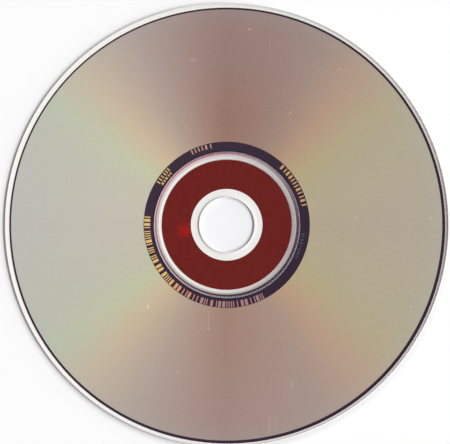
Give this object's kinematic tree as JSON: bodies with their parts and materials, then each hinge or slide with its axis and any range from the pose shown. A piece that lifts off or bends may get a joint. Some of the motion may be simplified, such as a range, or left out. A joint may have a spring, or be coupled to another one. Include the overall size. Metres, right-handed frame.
{
  "type": "compact disc",
  "caption": "Pressed optical disc with a clear hub and rim, a dark red hub print, a dark mirror band and an iridescent data area.",
  "frame": {"origin": "on the disc's axis, in the plane of the label print's underside, on which the disc lies", "axes": "+Z is the disc's axis and points out of the read side; the disc is round, and +Y is the top of the picture and +X its right"},
  "size_m": [0.12, 0.12, 0.0014],
  "materials": {
    "clear_plastic": "polished",
    "reflective_film": "iridescent satin over the data, polished elsewhere",
    "lacquer": "gloss",
    "red_ink": "screen-printed ink, satin"
  },
  "bodies": {
    "root": {"clear_disc": "clear_plastic", "reflective_layer": "reflective_film", "lacquer_coat": "lacquer", "hub_print": "red_ink", "label_print": "red_ink"}
  },
  "joints": []
}
